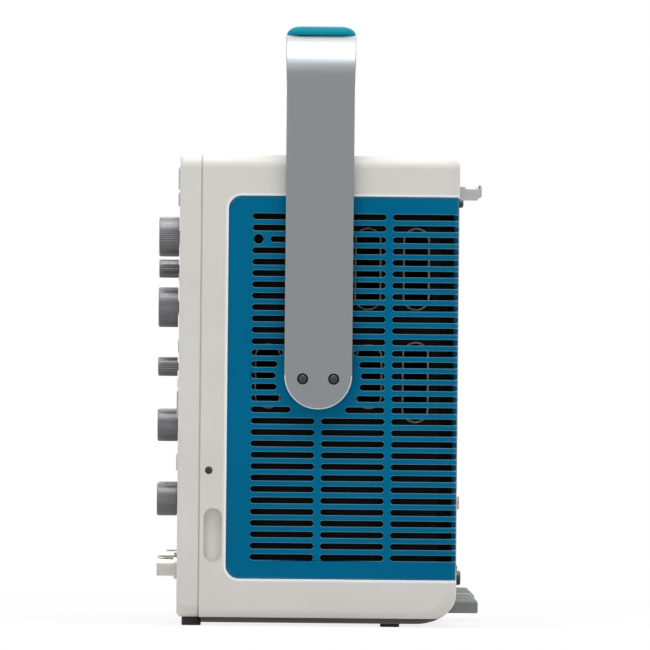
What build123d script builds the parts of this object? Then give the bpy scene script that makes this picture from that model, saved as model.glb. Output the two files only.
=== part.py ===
from build123d import *
import math
import os

# Bench oscilloscope with a swinging carrying handle.
# Frame: +X to the operator's right, -Y towards the operator, +Z up.
# The origin is on the resting surface, under the middle of the overall box.
# Depths in the comments are counted rearwards from the front face of the bezel.

# Driving dimensions of the case, in millimetres.
body_width = 427.0
body_height = 229.3
body_depth = 137.2
front_y = -69.0
base_z = 1.6
half_width = body_width / 2
bezel_depth = 10.4
case_front = 11.0
wall = 2.6
edge_radius = 6.5
top_rear_radius = 6.0
bottom_curve_depth = 20.0
bottom_curve_height = 14.5
strip_height = 2.6

# Side grilles: blue slotted panels that wrap round the rear corners.
grille_front = 24.3
grille_bottom = 21.8
grille_top = 209.0
grille_corner = 6.4
grille_rear_wrap = 28.0
grille_inset = 0.4
grille_wall = 2.4
slot_rows = 31
slot_pitch = 5.567
slot_top_row = 199.2
slot_height = 2.85
slot_bays = ((35.8, 66.8), (70.2, 101.1), (104.5, 145.0))
slot_rear_reach = 20.0
lock_hole_depth = 38.7
lock_hole_radius = 2.4
lock_hole_row = 2
short_slot_start = 44.6

# Carrying handle.
pivot_depth = 68.5
pivot_height = 120.7
handle_half_span = 219.5
arm_thickness = 5.0
arm_width = 33.4
arm_top_width = 34.3
flare_start = 262.0
flare_end = 277.0
arm_end_height = 121.4
bar_top = 288.2
bend_radius = 20.0
grip_rise = 4.4
plain_disc_radius = 21.0
grip_width = 33.8
grip_round = 4.2
screw_spacing = 15.2
screw_height = 119.7
pivot_pin_radius = 6.0
running_clearance = 0.05

# Front panel.
screen_left = -197.0
screen_width = 215.0
screen_bottom = 46.0
screen_height = 162.0
panel_left = 44.0
panel_right = 208.0
panel_bottom = 10.0
panel_top = 225.5
panel_thickness = 1.6
knob_reach = 10.2
cap_rise = 0.9
channel_columns = (62.0, 100.0, 138.0, 176.0)
board_depth = 8.6

# Knobs: name, x, height, cap radius, shaft radius.
knobs = [
    ("multipurpose_knob_a", 138.0, 188.9, 9.7, 3.0),
    ("multipurpose_knob_b", 176.0, 188.9, 9.7, 3.0),
    ("horizontal_position_knob", 152.0, 173.2, 4.5, 2.0),
    ("horizontal_scale_knob", 176.0, 154.2, 9.75, 3.0),
    ("trigger_level_knob", 176.0, 125.1, 4.65, 2.0),
]
for channel, column in enumerate(channel_columns, 1):
    knobs.append((f"position_knob_{channel}", column, 96.3, 7.85, 3.0))
    knobs.append((f"scale_knob_{channel}", column, 59.9, 8.0, 3.0))

# Hard-cap buttons: name, x, height, width, height of the cap.
buttons = [
    ("run_stop_button", 195.0, 217.5, 17.0, 11.0),
    ("single_button", 172.0, 217.5, 17.0, 11.0),
    ("power_button", -188.0, 24.0, 13.0, 13.0),
]
for channel, column in enumerate(channel_columns, 1):
    buttons.append((f"channel_button_{channel}", column, 78.1, 15.0, 8.0))
for key in range(5):
    buttons.append((f"side_key_{key + 1}", 31.0, 187.0 - 30.0 * key, 13.0, 8.0))

# Silicone keys that share one flexing mat: x, height, width, height of the key.
mat_keys = [(54.0 + 16.0 * k, 207.25, 12.0, 6.5) for k in range(10)]
mat_keys += [(54.0 + 16.0 * k, 218.5, 12.0, 6.5) for k in range(7)]
mat_keys += [(56.0 + 22.0 * k, 188.0 - 17.0 * row, 15.0, 8.0) for row in range(3) for k in range(3)]
mat_keys += [(56.0 + 22.0 * k, 135.0, 15.0, 6.5) for k in range(4)]
mat_keys += [(197.0, 106.7, 11.0, 13.4)]

# Underside.
pocket_centres = (-150.0, 150.0)
pocket_width = 70.0
pocket_start = 18.0
pocket_end = 79.0
foot_pin_depth = 23.0
foot_pin_height = 4.0
foot_pin_radius = 1.75
front_foot_start = 2.6
rear_foot_start = 100.0
foot_spread = 190.0
foot_length = 9.4

# Connectors and fasteners.
jack_height = 27.0
usb_places = (-155.0, -131.0)
usb_height = 24.0
rear_screws = ((-196.0, 206.5), (196.0, 206.5), (-165.0, 22.5), (165.0, 22.5))
inlet_x = -112.0
inlet_height = 66.0
rear_output_x = 40.0

# Rear wall: a cover between the wrapped edges of the grilles, with a recess over the sockets.
cover_half = 185.2
cover_bottom = 28.0
cover_top = 205.0
cover_gap = 0.3
cover_rim = 4.0
cover_rim_width = 11.0
cover_rim_depth = 1.8
recess_half = 150.0
recess_bottom = 34.0
recess_top = 122.0
recess_collar = 2.5
port_panel_depth = 131.0
port_panel_face = 132.5
port_panel_splits = ((-152.5, -90.1), (-89.9, 61.9), (62.1, 152.5))
rear_vent_rows = 5
rear_vent_columns = 4
rear_vent_bottom = 142.0
rear_vent_pitch = 10.0
rear_vent_length = 60.0
rear_vent_height = 3.0

# Small side holes that take the pegs of a clip-on front cover.
cover_hole_depth = 15.3
cover_hole_height = 74.5
cover_hole_radius = 1.9

# Rear sockets in metal shells: x, height, width, height of the shell.
rear_port_cuts = (
    (-60.0, 60.0, 12.6, 11.4),
    (-34.0, 60.0, 16.4, 14.0),
    (4.0, 60.0, 31.0, 12.0),
    (-60.0, 84.0, 13.4, 7.4),
)

# Internals.
chassis_half = 203.0
sheet = 1.2
windows = (  # depth of the middle, bottom and top of each window in the chassis side
    (92.4, 154.0, 193.8),
    (116.1, 154.0, 193.8),
    (43.8, 105.5, 136.6),
    (93.3, 105.5, 136.6),
    (116.1, 99.0, 138.0),
)
window_width = 12.4
fan_depth = 72.0
fan_height = 57.0
fan_size = 76.0
fan_thickness = 20.0
fan_bore = 36.4
fan_blade_radius = 35.4
fan_shaft_radius = 2.0
main_board_height = 51.0

nodes = {}


def depth(d):
    return front_y + d


def height(z):
    return base_z + z


def box(x0, x1, d0, d1, z0, z1):
    """Block between two x values, two depths and two heights above the base."""
    centre = Pos((x0 + x1) / 2, depth((d0 + d1) / 2), height((z0 + z1) / 2))
    return centre * Box(x1 - x0, d1 - d0, z1 - z0)


def front_plate(x0, x1, z0, z1, d0, d1, r):
    """Plate with rounded corners as seen from the front, from depth d0 to d1."""
    centre = (x0 + x1) / 2, depth(d1), height((z0 + z1) / 2)
    plane = Plane(origin=centre, x_dir=(1, 0, 0), z_dir=(0, -1, 0))
    return extrude(plane * RectangleRounded(x1 - x0, z1 - z0, r), d1 - d0)


def side_plate(d0, d1, z0, z1, x0, x1, r):
    """Plate with rounded corners as seen from the side, from x0 to x1."""
    centre = x0, depth((d0 + d1) / 2), height((z0 + z1) / 2)
    plane = Plane(origin=centre, x_dir=(0, 1, 0), z_dir=(1, 0, 0))
    return extrude(plane * RectangleRounded(d1 - d0, z1 - z0, r), x1 - x0)


def floor_plate(x0, x1, d0, d1, z0, z1, r):
    """Plate with rounded corners as seen from below, from z0 up to z1."""
    centre = (x0 + x1) / 2, depth((d0 + d1) / 2), height(z0)
    return extrude(Plane(origin=centre) * RectangleRounded(x1 - x0, d1 - d0, r), z1 - z0)


def rod_y(x, z, d0, d1, r):
    """Round bar along the depth."""
    return Pos(x, depth((d0 + d1) / 2), height(z)) * Rot(90, 0, 0) * Cylinder(r, d1 - d0)


def rod_x(d, z, x0, x1, r):
    """Round bar across the width."""
    return Pos((x0 + x1) / 2, depth(d), height(z)) * Rot(0, 90, 0) * Cylinder(r, abs(x1 - x0))


def rod_z(x, d, z0, z1, r):
    """Upright round bar."""
    return Pos(x, depth(d), height((z0 + z1) / 2)) * Cylinder(r, z1 - z0)


def widened_plate(x_half, z0, z1, d0, d1, r, grow):
    """Plate across the middle of the width, grown on all four edges."""
    return front_plate(-x_half - grow, x_half + grow, z0 - grow, z1 + grow, d0, d1, r)


def both_sides(shape):
    return [shape, mirror(shape, Plane.YZ)]


def group(shapes):
    """Separate solids that share one node."""
    solids = []
    for shape in shapes:
        solids.extend(shape.solids())
    return Compound(children=solids)


def case_solid(inset):
    """Full case volume, shrunk on every side but the front by the inset."""
    rear = body_depth - inset
    top = body_height - inset
    rx = bottom_curve_depth - inset
    rz = bottom_curve_height - inset
    r = top_rear_radius - inset * 0.6
    side = Plane(origin=(0, front_y, base_z), x_dir=(0, 1, 0), z_dir=(1, 0, 0))
    floor_line = Line((case_front, inset), (rear - rx, inset))
    curve = EllipticalCenterArc((rear - rx, inset + rz), rx, rz, start_angle=270, arc_size=90)
    rear_line = Line((rear, inset + rz), (rear, top - r))
    corner = CenterArc((rear - r, top - r), r, 0, 90)
    top_line = Line((rear - r, top), (case_front, top))
    front_line = Line((case_front, top), (case_front, inset))
    outline = make_face([floor_line, curve, rear_line, corner, top_line, front_line])
    half = half_width - inset
    block = extrude(side * outline, half, both=True)
    edges = block.faces().sort_by(Axis.X)[-1].edges() + block.faces().sort_by(Axis.X)[0].edges()
    edges = [e for e in edges if e.center().Y > depth(case_front) + 0.5]
    return fillet(edges, edge_radius - inset * 0.6)


outer_case = case_solid(0)
inner_case = case_solid(wall)


def grille_zone(grow):
    """Region of the case that the two side panels take up, grown by the given amount."""
    x_inner = half_width - grille_rear_wrap - grow
    side_half = side_plate(grille_front - grow, body_depth + 40, grille_bottom - grow,
                           grille_top + grow, x_inner, half_width + 5, grille_corner)
    return both_sides(side_half)


def make_main_case():
    """Cream moulded shell: top, sides and rear rim, open at the front, grilles, rear and floor."""
    shell = outer_case - inner_case
    shell -= box(-300, 300, 0, 200, -10, strip_height)
    lip_outer = grille_inset + grille_wall + 0.1
    lip_inside = case_solid(lip_outer + 1.6)
    lip = case_solid(lip_outer) - lip_inside
    lip_root = case_solid(wall - 0.1) - lip_inside
    for seam, zone, hole in zip(grille_zone(0.25), grille_zone(3.0), grille_zone(-4.0)):
        shell -= seam
        shell += (lip & zone) - hole
        shell += (lip_root & zone) - seam
    for side in (-1, 1):
        x_skin = side * half_width
        shell += rod_x(cover_hole_depth, cover_hole_height, x_skin - side * 9, x_skin - side * 1, 4.2)
        shell -= rod_x(cover_hole_depth, cover_hole_height, x_skin - side * 8, x_skin + side * 1,
                       cover_hole_radius)
        shell += side_plate(12.4, 24.0, 27.6, 58.0, *sorted((x_skin - side * 5.5, x_skin - side * 1)), 4)
        shell -= side_plate(13.0, 22.0, 29.6, 56.0, *sorted((x_skin - side * 3.5, x_skin + side * 1)), 4.4)
    inner_face = body_depth - wall
    cover_frame = cover_half, cover_bottom, cover_top
    shell -= widened_plate(*cover_frame, inner_face - 1, body_depth + 5, 3, cover_gap)
    shell -= widened_plate(*cover_frame, inner_face - 5, inner_face, 3, cover_rim + 0.5)
    for x, z in rear_screws:
        shell -= rod_y(x, z, body_depth - 9, body_depth + 3, 1.7)
    return shell


def make_rear_cover():
    """Cream rear cover with a rim that tucks behind its neighbours and a recess over the sockets."""
    cover_frame = cover_half, cover_bottom, cover_top
    inner_face = body_depth - wall
    cover = widened_plate(*cover_frame, inner_face, body_depth, 3, 0)
    rim = widened_plate(*cover_frame, inner_face - cover_rim_depth, inner_face - cover_gap, 3, cover_rim)
    rim += widened_plate(*cover_frame, inner_face - 1, inner_face, 3, 0)
    rim -= widened_plate(*cover_frame, inner_face - 10, inner_face + 1, 3, cover_rim - cover_rim_width)
    cover += rim
    for rib in both_sides(box(179, 181, 128.3, inner_face, cover_bottom + 3, cover_top - 3)):
        cover += rib
    recess = recess_half, recess_bottom, recess_top
    cover += widened_plate(*recess, port_panel_face + 0.1, inner_face, 4, recess_collar)
    cover -= widened_plate(*recess, port_panel_face - 1, body_depth + 1, 4, 0)
    for row in range(rear_vent_rows):
        z = rear_vent_bottom + row * rear_vent_pitch
        for column in range(rear_vent_columns):
            x = (column - (rear_vent_columns - 1) / 2) * (rear_vent_length + 6)
            cover -= front_plate(x - rear_vent_length / 2, x + rear_vent_length / 2, z,
                                 z + rear_vent_height, body_depth - 5, body_depth + 1, 1.2)
    return cover


def slot_spans(row):
    """Start and stop depths of the slots in one row, which end short of the plain disc."""
    rise = abs(slot_top_row - row * slot_pitch - pivot_height)
    chord = math.sqrt(max(plain_disc_radius**2 - rise**2, 0))
    disc_start, disc_stop = pivot_depth - chord, pivot_depth + chord
    spans = []
    for start, stop in slot_bays:
        if row == lock_hole_row and start == slot_bays[0][0]:
            start = short_slot_start
        if not chord or stop < disc_start or start > disc_stop:
            spans.append((start, stop))
            continue
        if disc_start - start > slot_height:
            spans.append((start, disc_start))
        if stop - disc_stop > slot_height:
            spans.append((disc_stop, stop))
    return spans


def make_grille(side):
    """Blue slotted panel on one side, flush with the case and wrapped round the rear corner."""
    zone = grille_zone(0)[0 if side > 0 else 1]
    panel = (case_solid(grille_inset) - case_solid(grille_inset + grille_wall)) & zone
    x_in, x_out = half_width - 12, half_width + 2
    x_wrap = half_width - slot_rear_reach
    slots = []
    for row in range(slot_rows):
        z = slot_top_row - row * slot_pitch
        low, high = z - slot_height / 2, z + slot_height / 2
        for start, stop in slot_spans(row):
            inner = x_wrap if stop > body_depth else x_in
            slots.append(side_plate(start, stop, low, high, inner, x_out, slot_height * 0.48))
    slots.append(rod_x(lock_hole_depth, slot_top_row - lock_hole_row * slot_pitch, x_in, x_out,
                       lock_hole_radius))
    for slot in slots:
        panel -= slot if side > 0 else mirror(slot, Plane.YZ)
    x_skin = side * half_width
    panel -= rod_x(pivot_depth, pivot_height, x_skin - side * 8, x_skin + side * 2, 14.0)
    for x, z in rear_screws:
        panel -= rod_y(x, z, body_depth - 8, body_depth + 3, 1.7)
    return panel


def make_base_plate():
    """Dark underside of the case, with a tub for each flip foot."""
    plate = outer_case & box(-300, 300, case_front + 1.1, 200, -1, strip_height - 0.15)
    for x in pocket_centres:
        x0, x1 = x - pocket_width / 2, x + pocket_width / 2
        plate += box(x0 - 2, x1 + 2, pocket_start - 2, pocket_end + 2, 0, 8.6)
        plate -= box(x0, x1, pocket_start, pocket_end, -1, 7.0)
        pin_bore = foot_pin_radius + running_clearance
        plate -= rod_x(foot_pin_depth, foot_pin_height, x0 - 1.6, x1 + 1.6, pin_bore)
    for rib in both_sides(box(204.2, 205.6, 30, 110, strip_height - 0.3, 7.0)):
        plate += rib
    return plate


def make_flip_foot(x):
    """Fold-out foot with its two pin stubs."""
    x0, x1 = x - pocket_width / 2 + 1, x + pocket_width / 2 - 1
    plate = box(x0, x1, foot_pin_depth, 67.5, 1.0, 6.0)
    plate += rod_x(foot_pin_depth, foot_pin_height, x0, x1, 2.5)
    plate += rod_x(foot_pin_depth, foot_pin_height, x0 - 2.3, x1 + 2.3, foot_pin_radius)
    plate -= box(x0 + 8, x1 - 8, 58, 64, 0, 2.4)
    return plate


def make_front_bezel():
    """Cream front frame: a 3 mm face with a skirt that reaches into the case."""
    bezel = front_plate(-half_width, half_width, strip_height, body_height, 0, bezel_depth, edge_radius)
    front_edges = bezel.faces().sort_by(Axis.Y)[0].edges()
    bezel = fillet(front_edges, 2.5)
    bezel -= front_plate(-half_width + wall, half_width - wall, strip_height + wall, body_height - wall, 3.0,
                         bezel_depth + 1, 4)
    skirt_out = front_plate(-half_width + 2.8, half_width - 2.8, 5.6, body_height - 2.8, 3.0, 15.5, 4.6)
    skirt_in = front_plate(-half_width + 4.2, half_width - 4.2, 7.0, body_height - 4.2, 2.9, 16, 3.2)
    joint_band = front_plate(-half_width + 1.4, half_width - 1.4, strip_height + 1.4, body_height - 1.4, 8.5,
                             bezel_depth, 4)
    joint_band -= skirt_in
    bezel += joint_band + (skirt_out - skirt_in)
    for side in (-1, 1):
        x_skin = side * half_width
        bezel -= rod_x(cover_hole_depth, cover_hole_height, x_skin - side * 12, x_skin - side * 2, 5.0)
        x_pair = sorted((x_skin - side * 8, x_skin - side * 2))
        bezel -= box(*x_pair, 11.6, 26, 25.5, 60)
    screen_right = screen_left + screen_width
    screen_top = screen_bottom + screen_height
    bezel -= front_plate(screen_left - 4, screen_right + 4, screen_bottom - 4, screen_top + 4, -1, 1.3, 3)
    bezel -= front_plate(screen_left, screen_right, screen_bottom, screen_top, -1, 4, 1.5)
    bezel -= front_plate(panel_left - 0.2, panel_right + 0.2, panel_bottom - 0.2, panel_top + 0.2,
                         -1, panel_thickness, 3.2)
    bezel -= front_plate(panel_left + 1.8, panel_right - 1.8, panel_bottom + 1.8, panel_top - 1.8, -1, 4, 2)
    for x in usb_places:
        bezel -= front_plate(x - 7.2, x + 7.2, usb_height - 3.8, usb_height + 3.8, -1, 4, 0.6)
    for _, x, z, w, h in buttons:
        if x < panel_left:
            bezel -= cap_hole(x, z, w, h)
    bezel -= front_plate(26, 36, 17, 39, -1, 4, 1)
    return bezel


def cap_hole(x, z, w, h):
    """Opening for a button cap, with an even gap round it."""
    return front_plate(x - w / 2 - 0.35, x + w / 2 + 0.35, z - h / 2 - 0.35, z + h / 2 + 0.35, -1, 4, 1.85)


def make_control_panel():
    """Grey plate that the knobs, buttons and input jacks come through."""
    plate = front_plate(panel_left, panel_right, panel_bottom, panel_top, 0, panel_thickness, 3)
    for _, x, z, _, shaft in knobs:
        plate -= rod_y(x, z, -1, 3, shaft + 0.7)
    for _, x, z, w, h in buttons:
        if x > panel_left:
            plate -= cap_hole(x, z, w, h)
    for x, z, w, h in mat_keys:
        plate -= cap_hole(x, z, w, h)
    for x in channel_columns:
        plate -= rod_y(x, jack_height, -1, 3, 6.5)
        plate -= light_bar(x, 0.05)
    return plate


def light_bar(x, grow):
    """Lit strip over one channel's position knob."""
    return front_plate(x - 7 - grow, x + 7 + grow, 114.9 - grow, 119.3 + grow, -0.7 - grow, 3.4 + grow, 1.2)


def make_knob(x, z, cap, shaft):
    """Fluted cap on its shaft."""
    body = rod_y(x, z, -knob_reach, -0.6, cap)
    body = fillet(body.faces().sort_by(Axis.Y)[0].edges(), 0.7)
    flutes = 40 if cap > 6 else 22
    groove = 0.35
    for k in range(flutes):
        turn = 2 * math.pi * k / flutes
        fx, fz = x + (cap + 0.1) * math.cos(turn), z + (cap + 0.1) * math.sin(turn)
        body -= rod_y(fx, fz, -knob_reach + 1.2, -1.8, groove)
    body -= rod_y(x, z, -knob_reach - 1, -knob_reach + 0.5, cap - 1.8)
    mark = box(x - 0.4, x + 0.4, -knob_reach - 1, -knob_reach + 0.9, z + cap * 0.35, z + cap - 2.2)
    body -= mark
    return body + rod_y(x, z, -0.6, 7.6, shaft)


def make_button(x, z, w, h):
    """Hard cap with a flange behind the panel and a stem to its switch."""
    cap = front_plate(x - w / 2, x + w / 2, z - h / 2, z + h / 2, -cap_rise, 3.6, 1.5)
    cap = fillet(cap.faces().sort_by(Axis.Y)[0].edges(), 0.4)
    flange = front_plate(x - w / 2 - 1.1, x + w / 2 + 1.1, z - h / 2 - 1.1, z + h / 2 + 1.1, 3.3, 4.2, 1.5)
    return cap + flange + rod_y(x, z, 4.2, 6.0, 1.5)


def encoder_body(x, z, grow):
    """Square housing of a rotary encoder, grown for clearance."""
    half = 5.6 + grow
    return box(x - half, x + half, 2.0, board_depth, z - half, z + half)


def make_encoders():
    """Rotary encoders with the bearing bores that the knob shafts turn in."""
    bodies = []
    for _, x, z, _, shaft in knobs:
        bodies.append(encoder_body(x, z, 0) - rod_y(x, z, 0, 8.0, shaft + running_clearance))
    return group(bodies)


def make_menu_mat():
    """One silicone mat whose keys come up through the panel."""
    mat = front_plate(panel_left + 3.5, panel_right - 3.5, 98.0, panel_top - 3.5, 3.9, 4.9, 2)
    for _, x, z, _, _ in knobs:
        mat -= encoder_body(x, z, 0.5)
    for _, x, z, w, h in buttons:
        mat -= box(x - w / 2 - 1.6, x + w / 2 + 1.6, 0, 8, z - h / 2 - 1.6, z + h / 2 + 1.6)
    for x in channel_columns:
        mat -= light_bar(x, 0.5) + Pos(0, 1.5, 0) * light_bar(x, 0.5)
    for x, z, w, h in mat_keys:
        key = front_plate(x - w / 2, x + w / 2, z - h / 2, z + h / 2, -0.8, 4.0, 1.5)
        mat += fillet(key.faces().sort_by(Axis.Y)[0].edges(), 0.5)
    return mat


def make_panel_board():
    """Circuit board behind the controls, with a switch under every hard cap."""
    board = box(26, 206, board_depth, board_depth + 1.6, 14, 222)
    parts = [board]
    for x in channel_columns:
        parts[0] = parts[0] - rod_y(x, jack_height, 0, 20, 6.3)
    for _, x, z, _, _ in buttons:
        if x > 0:
            parts.append(box(x - 3, x + 3, board_depth - 1.5, board_depth, z - 3, z + 3))
        else:
            parts.append(box(x - 3, x + 3, board_depth - 1.5, 13.2, z - 3, z + 3))
    parts.append(box(-196, -118, 13.2, 14.8, 16, 32))
    return group(parts)


def make_input_jacks():
    """Bayonet input sockets: barrel, two lugs, flange and a centre contact."""
    jacks = []
    for x in channel_columns:
        jack = rod_y(x, jack_height, -10.0, 3.0, 4.8) + rod_y(x, jack_height, -1.6, 0, 6.3)
        jack += rod_y(x, jack_height, 0, 12.0, 6.0)
        jack += rod_x(-7.4, jack_height, x - 5.5, x + 5.5, 1.0)
        jack -= rod_y(x, jack_height, -11, -2.0, 4.05)
        jack += rod_y(x, jack_height, -8.4, -1.0, 2.35) - rod_y(x, jack_height, -9, -3, 0.7)
        jacks.append(jack)
    return group(jacks)


def make_light_bars():
    return group([light_bar(x, 0) for x in channel_columns])


def make_probe_lugs():
    """Two bent test terminals for setting up probes."""
    block = box(26.4, 35.6, -0.6, 5.0, 17.4, 38.6)
    lugs = [block]
    for z in (22.5, 33.5):
        lug = box(28.5, 33.5, -6.0, -0.6, z - 0.4, z + 0.4)
        lugs.append(lug - rod_z(31, -4.0, z - 2, z + 2, 1.2))
    return group(lugs)


def make_usb_ports():
    """Two front host sockets with their contact tongues."""
    ports = []
    for x in usb_places:
        port = box(x - 6.6, x + 6.6, 0.3, 13.0, usb_height - 3.2, usb_height + 3.2)
        port -= box(x - 6.2, x + 6.2, -1, 10.5, usb_height - 2.6, usb_height + 2.6)
        port += box(x - 5.6, x + 5.6, 1.8, 10.5, usb_height + 0.2, usb_height + 2.0)
        ports.append(port)
    return group(ports)


def make_display_window():
    screen_right = screen_left + screen_width
    screen_top = screen_bottom + screen_height
    return front_plate(screen_left - 3.8, screen_right + 3.8, screen_bottom - 3.8, screen_top + 3.8,
                       0.2, 1.3, 2.8)


def make_display_module():
    """Flat screen: a glass stack in a folded metal tray."""
    screen_right = screen_left + screen_width
    screen_top = screen_bottom + screen_height
    glass = box(screen_left - 1, screen_right + 1, 3.2, 5.2, screen_bottom - 1, screen_top + 1)
    tray = box(screen_left - 3, screen_right + 3, 5.2, 12.5, screen_bottom - 3, screen_top + 3)
    return group([glass, tray])


def make_rear_panel():
    """Three flat grey metal plates: one for the mains inlet, one for the sockets and a blank."""
    panel = widened_plate(recess_half, recess_bottom, recess_top, port_panel_depth, port_panel_face, 4,
                          recess_collar)
    panel -= box(inlet_x - 14, inlet_x + 14, 120, 150, inlet_height - 10.2, inlet_height + 10.2)
    for x, z, w, h in rear_port_cuts:
        panel -= box(x - w / 2, x + w / 2, 120, 150, z - h / 2, z + h / 2)
    panel -= rod_y(rear_output_x, 60.0, 120, 150, 5.0)
    return group([panel & box(x0, x1, 120, 150, 0, 200) for x0, x1 in port_panel_splits])


def make_rear_ports():
    """Device, network, video and host sockets as open metal shells."""
    shells = []
    for x, z, w, h in rear_port_cuts:
        shell = box(x - w / 2 + 0.2, x + w / 2 - 0.2, 118, port_panel_depth + 2.2,
                    z - h / 2 + 0.2, z + h / 2 - 0.2)
        shell -= box(x - w / 2 + 1, x + w / 2 - 1, 122, 140, z - h / 2 + 1, z + h / 2 - 1)
        shells.append(shell)
    output = rod_y(rear_output_x, 60.0, 120, port_panel_depth + 8, 4.8)
    output -= rod_y(rear_output_x, 60.0, 126, 145, 4.0)
    shells.append(output + rod_y(rear_output_x, 60.0, 125, port_panel_depth + 7, 2.3))
    shells.append(rod_y(rear_output_x, 84.0, port_panel_face, port_panel_face + 4.5, 3.0))
    return group(shells)


def make_ac_inlet():
    """Mains inlet: a moulded socket with a flange, a cavity and three blades."""
    x, z = inlet_x, inlet_height
    inlet = box(x - 13.8, x + 13.8, 112, port_panel_face, z - 10, z + 10)
    inlet += front_plate(x - 20, x + 20, z - 12, z + 12, port_panel_face, port_panel_face + 3, 3)
    inlet -= front_plate(x - 12.2, x + 12.2, z - 8.2, z + 8.2, 117, 150, 3)
    for bx, bz in ((-7.0, 2.6), (7.0, 2.6), (0.0, 5.4)):
        inlet += box(x + bx - 1, x + bx + 1, 116.5, 130, z + bz - 2.0, z + bz + 2.0)
    return inlet


def make_rear_standoffs():
    """Two upturned hooks at the top rear and two feet at the bottom rear."""
    rear_reach = 148.2
    pieces = []
    for x in (-130.0, 130.0):
        hook = box(x - 16, x + 16, body_depth, rear_reach, 209.5, 214.0)
        hook += box(x - 16, x + 16, 146.6, rear_reach, 213.0, 216.0)
        hook += box(x - 16, x + 16, body_depth, 140.2, 213.0, 215.0)
        tip_edges = hook.faces().sort_by(Axis.Y)[-1].edges().filter_by(Axis.X)
        pieces.append(fillet(tip_edges, 1.2))
    for x in (-150.0, 150.0):
        foot = box(x - 22, x + 22, 128, rear_reach - 0.2, 5.2, 14.7) - outer_case
        top_rear = foot.edges().filter_by(Axis.X).sort_by(Axis.Z)[-2:].sort_by(Axis.Y)[-1:]
        top_ends = foot.edges().filter_by(Axis.Y).sort_by(Axis.Z)[-2:]
        pieces.append(chamfer(top_rear + top_ends, 4.0))
    return group(pieces)


def make_rubber_feet():
    """Front pair, which fill the space under the bezel, and a thin rear pair."""
    feet = []
    rubber_foot_places = [(x, front_foot_start, strip_height - 0.1) for x in (-foot_spread, foot_spread)]
    rubber_foot_places += [(x, rear_foot_start, 0) for x in (-foot_spread, foot_spread)]
    for x, d, top in rubber_foot_places:
        foot = floor_plate(x - 14, x + 14, d, d + foot_length, -base_z, top, 2)
        feet.append(fillet(foot.faces().sort_by(Axis.Z)[0].edges(), 0.5))
    return group(feet)


def arm_outline():
    """Side view of the handle: round lower end, straight sides, slight flare at the bend."""
    half = arm_width / 2
    flare = arm_top_width / 2
    plane = Plane(origin=(-handle_half_span, depth(pivot_depth), base_z), x_dir=(0, 1, 0), z_dir=(1, 0, 0))
    end = CenterArc((0, arm_end_height), half, 180, 180)
    right = [Line((half, arm_end_height), (half, flare_start)), Line((half, flare_start), (flare, flare_end)),
             Line((flare, flare_end), (flare, bar_top))]
    left = [Line((-half, flare_start), (-half, arm_end_height)),
            Line((-flare, flare_end), (-half, flare_start)),
            Line((-flare, bar_top), (-flare, flare_end))]
    top = Line((flare, bar_top), (-flare, bar_top))
    return plane * make_face([end] + right + [top] + left)


def make_handle_frame():
    """Flat metal strap bent into an upright U."""
    low = arm_end_height - 40
    strap = front_plate(-handle_half_span, handle_half_span, low - 60, bar_top, 30, 110, bend_radius)
    inner = handle_half_span - arm_thickness
    inner_bend = bend_radius - arm_thickness
    strap -= front_plate(-inner, inner, low - 90, bar_top - arm_thickness, 20, 120, inner_bend)
    strap = strap & extrude(arm_outline(), 2 * handle_half_span)
    for side in (-1, 1):
        for offset in (-screw_spacing / 2, screw_spacing / 2):
            x_out = side * handle_half_span
            strap -= rod_x(pivot_depth + offset, screw_height, x_out - side * 1.8, x_out + side, 2.8)
            strap -= rod_x(pivot_depth + offset, screw_height, x_out - side * 9, x_out, 1.5)
    return strap


def make_handle_pivots():
    """Turning plates inside the arms, each with a pin that runs in the hub."""
    pivots = []
    for side in (-1, 1):
        x_face = side * (handle_half_span - arm_thickness)
        plate = rod_x(pivot_depth, pivot_height, x_face - side * 2.7, x_face, 13.4)
        plate += rod_x(pivot_depth, pivot_height, x_face - side * 10.5, x_face - side * 2.7, pivot_pin_radius)
        for offset in (-screw_spacing / 2, screw_spacing / 2):
            plate -= rod_x(pivot_depth + offset, screw_height, x_face - side * 2.5, x_face + side, 1.5)
        pivots.append(plate)
    return group(pivots)


def make_handle_screws():
    screws = []
    for side in (-1, 1):
        for offset in (-screw_spacing / 2, screw_spacing / 2):
            x_out = side * handle_half_span
            screw = rod_x(pivot_depth + offset, screw_height, x_out - side * 1.8, x_out - side * 0.3, 2.6)
            screw += rod_x(pivot_depth + offset, screw_height, x_out - side * 7.2, x_out - side * 1.8, 1.45)
            socket = rod_x(pivot_depth + offset, screw_height, x_out - side * 1.3, x_out, 1.2)
            screws.append(screw - socket)
    return group(screws)


def make_handle_grip():
    """Rounded blue cover along the top bar."""
    length = handle_half_span - bend_radius + 4
    half = grip_width / 2
    grip = box(-length, length, pivot_depth - half, pivot_depth + half, bar_top, bar_top + grip_rise)
    return fillet(grip.faces().sort_by(Axis.Z)[-1].edges(), grip_round)


def make_handle_hubs():
    """Fixed bearing bosses on the chassis that the handle pins turn in."""
    hubs = []
    for side in (-1, 1):
        x_wall = side * chassis_half
        x_skin = side * half_width
        hub = rod_x(pivot_depth, pivot_height, x_wall, x_skin - side * 3.3, 18.0)
        hub += rod_x(pivot_depth, pivot_height, x_wall, x_skin - side * 2.1, 13.4)
        hub -= rod_x(pivot_depth, pivot_height, x_wall - side, x_skin, pivot_pin_radius + running_clearance)
        hubs.append(hub)
    return group(hubs)


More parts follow.
